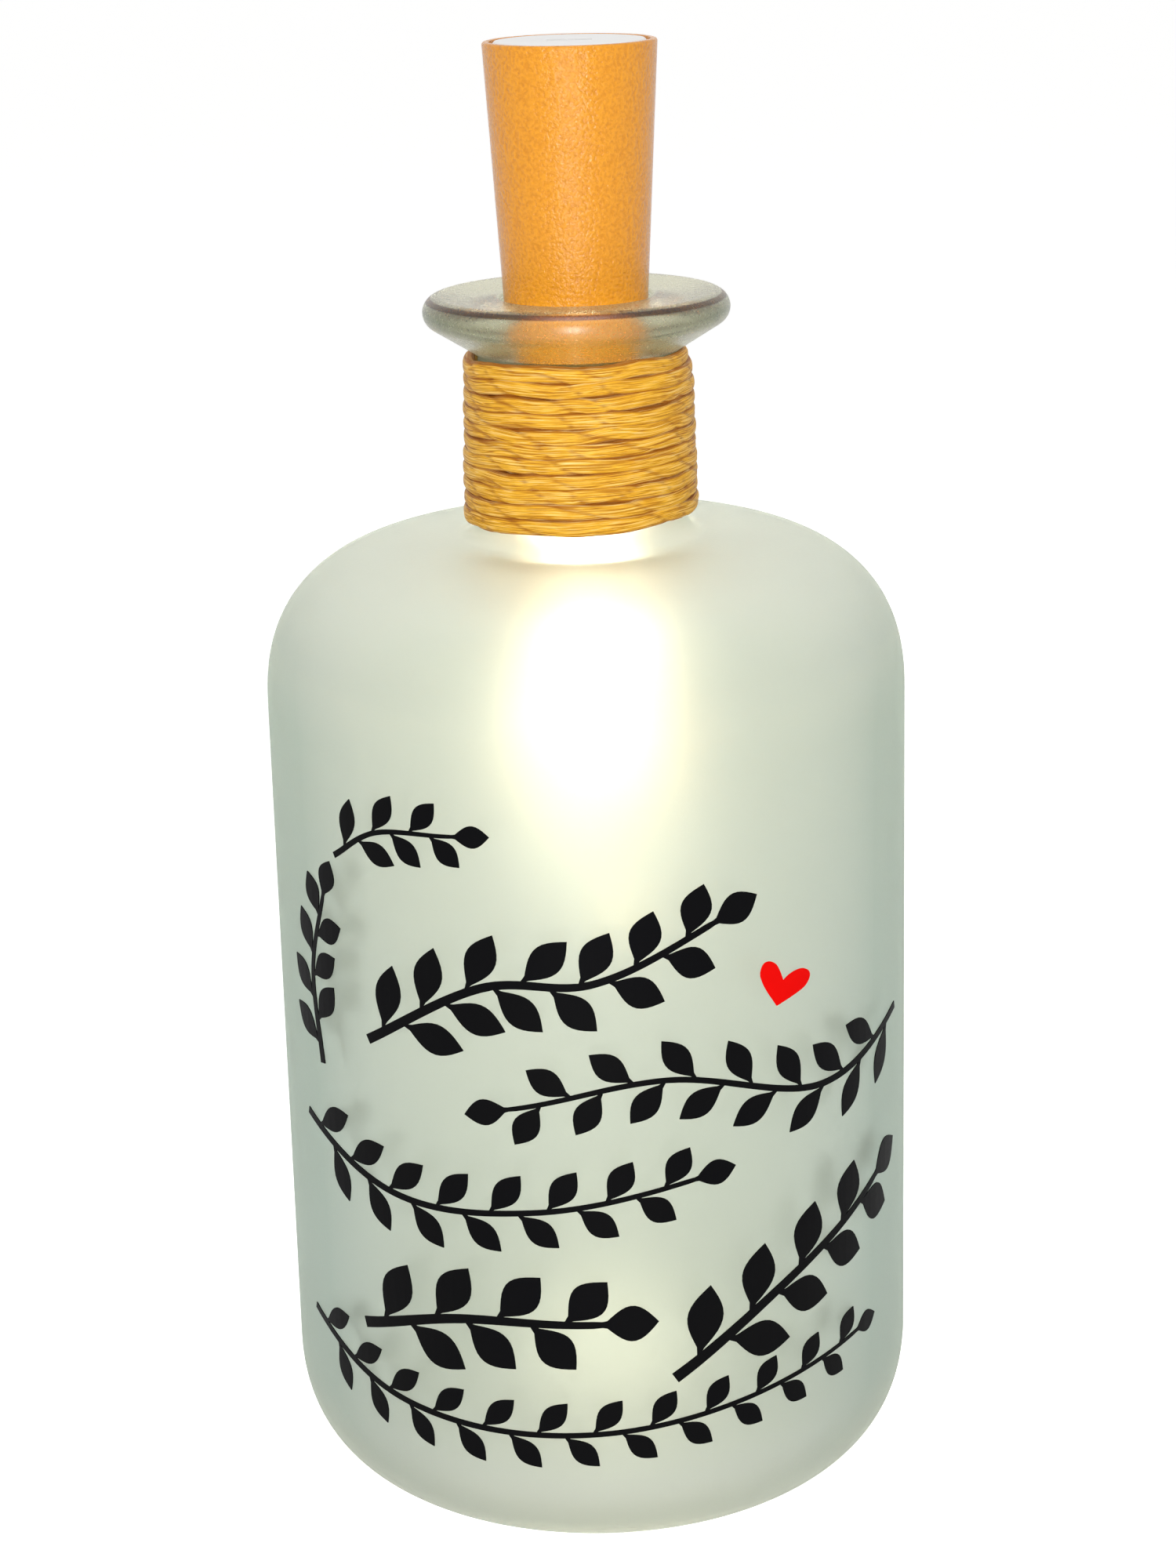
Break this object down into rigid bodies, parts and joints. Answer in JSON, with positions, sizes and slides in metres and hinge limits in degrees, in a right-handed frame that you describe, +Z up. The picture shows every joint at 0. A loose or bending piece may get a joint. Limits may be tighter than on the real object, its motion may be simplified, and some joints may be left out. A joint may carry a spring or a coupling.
{
  "type": "led bottle light",
  "caption": "Frosted glass bottle with a cord-wound neck, lit from inside by a warm light string that hangs from a battery stopper.",
  "frame": {"origin": "middle of the bottle's base, on the surface that it stands on", "axes": "+Z up along the axis of bottle and stopper, the decorated front faces -Y, +X to its right"},
  "size_m": [0.0826, 0.0831, 0.189],
  "materials": {
    "frosted_glass": "satin frosted clear glass with a faint green tint",
    "golden_cord": "waxed golden twisted cord",
    "black_film": "black self-adhesive vinyl film",
    "red_film": "red self-adhesive vinyl film",
    "cork_plastic": "satin tan-orange moulded plastic with a cork grain",
    "seal_silicone": "translucent silicone",
    "board_green": "solder-masked circuit board",
    "spring_brass": "rolled spring strip",
    "resistor_black": "chip resistor",
    "copper_wire": "lacquered copper wire",
    "warm_drop": "clear resin bead over a warm white diode",
    "tie_white": "white twist tie",
    "white_plastic": "white moulded plastic",
    "cell_steel": "nickel-plated steel",
    "cell_gasket": "nylon sealing ring",
    "black_plastic": "black moulded plastic"
  },
  "bodies": {
    "bottle": {"glass_bottle": "frosted_glass", "neck_twine": "golden_cord", "ornament_small_sprig_left": "black_film", "ornament_tall_sprig_left": "black_film", "ornament_long_branch_top": "black_film", "ornament_long_branch_middle": "black_film", "ornament_wide_branch": "black_film", "ornament_bold_sprig_left": "black_film", "ornament_bold_sprig_right": "black_film", "ornament_low_garland": "black_film", "red_heart": "red_film"},
    "stopper": {"cork_shell": "cork_plastic", "wire_seal": "seal_silicone", "contact_board": "board_green", "board_contact_positive": "spring_brass", "board_contact_negative": "spring_brass", "series_resistor": "resistor_black", "inner_lead": "copper_wire", "led_wire_lead": "copper_wire", "led_wire_hank": "copper_wire", "led_wire_tail": "copper_wire", "led_drop_01": "warm_drop", "led_drop_02": "warm_drop", "led_drop_03": "warm_drop", "led_drop_04": "warm_drop", "led_drop_05": "warm_drop", "led_drop_06": "warm_drop", "led_drop_07": "warm_drop", "led_drop_08": "warm_drop", "led_drop_09": "warm_drop", "led_drop_10": "warm_drop", "led_drop_11": "warm_drop", "led_drop_12": "warm_drop", "led_drop_13": "warm_drop", "led_drop_14": "warm_drop", "led_drop_15": "warm_drop", "hank_tie": "tie_white"},
    "cartridge": {"cell_carrier": "white_plastic", "positive_contact": "spring_brass", "side_strip": "spring_brass", "battery_spring": "spring_brass", "cell_can_1": "cell_steel", "cell_gasket_1": "cell_gasket", "cell_cap_1": "cell_steel", "cell_can_2": "cell_steel", "cell_gasket_2": "cell_gasket", "cell_cap_2": "cell_steel", "cell_can_3": "cell_steel", "cell_gasket_3": "cell_gasket", "cell_cap_3": "cell_steel"},
    "switch": {"switch_knob": "black_plastic", "switch_wiper": "spring_brass"}
  },
  "joints": [
    {"name": "stopper_slide", "type": "slide", "parent": "bottle", "child": "stopper", "axis": [0, 0, 1], "range_m": [0, 0.089]},
    {"name": "cartridge_slide", "type": "slide", "parent": "stopper", "child": "cartridge", "axis": [0, 0, 1], "range_m": [0, 0.033]},
    {"name": "switch_slide", "type": "slide", "parent": "cartridge", "child": "switch", "axis": [1, 0, 0], "range_m": [-0.0022, 0]}
  ]
}
